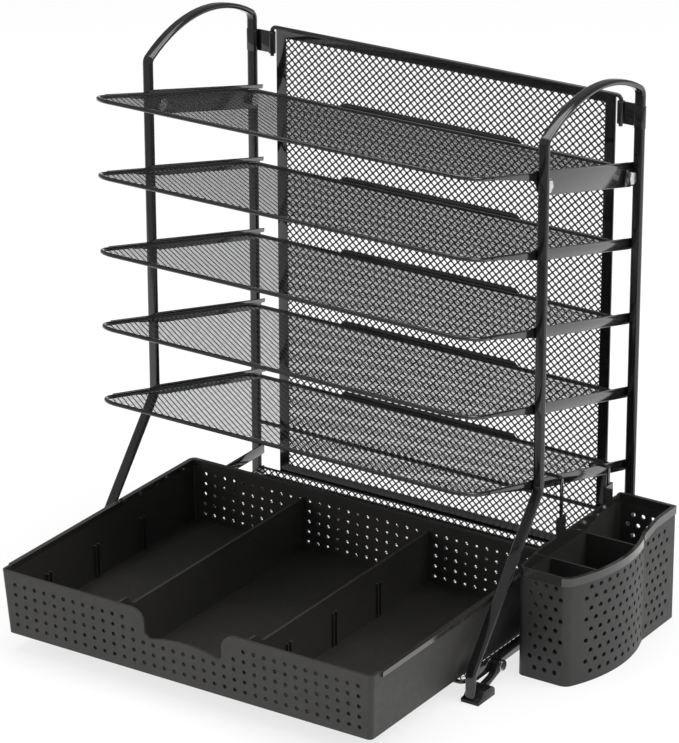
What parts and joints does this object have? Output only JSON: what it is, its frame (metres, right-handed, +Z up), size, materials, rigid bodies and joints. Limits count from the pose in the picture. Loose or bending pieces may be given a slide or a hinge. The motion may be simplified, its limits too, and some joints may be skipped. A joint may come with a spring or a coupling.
{
  "type": "desk file organizer",
  "caption": "Black mesh desk organizer with stacked sloping letter trays in bent tube side frames, a pull-out divided drawer, a lift-out back panel and a hook-on pen holder.",
  "frame": {"origin": "bottom centre of the whole organizer's box, on the desk, with the drawer pulled out as pictured", "axes": "+X to the user's right, towards the pen holder; +Y back, away from the user; +Z up"},
  "size_m": [0.3868, 0.3296, 0.3945],
  "materials": {
    "black_metal": "gloss black powder coat",
    "black_mesh": "gloss black powder coat on expanded metal",
    "drawer_plastic": "satin black moulded plastic",
    "holder_plastic": "satin black moulded plastic",
    "foot_plastic": "black moulded plastic",
    "bright_steel": "zinc-plated steel"
  },
  "bodies": {
    "stand": {"left_side_frame": "black_metal", "right_side_frame": "black_metal", "tray_1_rim": "black_metal", "tray_2_rim": "black_metal", "tray_3_rim": "black_metal", "tray_4_rim": "black_metal", "tray_5_rim": "black_metal", "tray_1_mesh": "black_mesh", "tray_2_mesh": "black_mesh", "tray_3_mesh": "black_mesh", "tray_4_mesh": "black_mesh", "tray_5_mesh": "black_mesh", "base_tray_frame": "black_metal", "base_tray_mesh": "black_mesh", "left_front_foot": "foot_plastic", "right_front_foot": "foot_plastic", "left_rear_foot": "foot_plastic", "right_rear_foot": "foot_plastic", "foot_screws": "bright_steel", "top_tray_bolts": "bright_steel", "left_panel_bracket": "black_metal", "right_panel_bracket": "black_metal", "rear_cross_rod": "black_metal"},
    "drawer": {"drawer_tray": "drawer_plastic", "left_divider": "drawer_plastic", "right_divider": "drawer_plastic"},
    "back_panel": {"back_panel_frame": "black_metal", "back_panel_mesh": "black_mesh"},
    "pen_holder": {"pen_holder": "holder_plastic", "pen_holder_hooks": "black_metal"}
  },
  "joints": [
    {"name": "drawer_slide", "type": "slide", "parent": "stand", "child": "drawer", "axis": [0, -1, 0], "range_m": [-0.083, 0.06]},
    {"name": "back_panel_lift", "type": "slide", "parent": "stand", "child": "back_panel", "axis": [0, 0, 1], "range_m": [0, 0.03]},
    {"name": "pen_holder_lift", "type": "slide", "parent": "stand", "child": "pen_holder", "axis": [0, 0, 1], "range_m": [0, 0.03]}
  ]
}
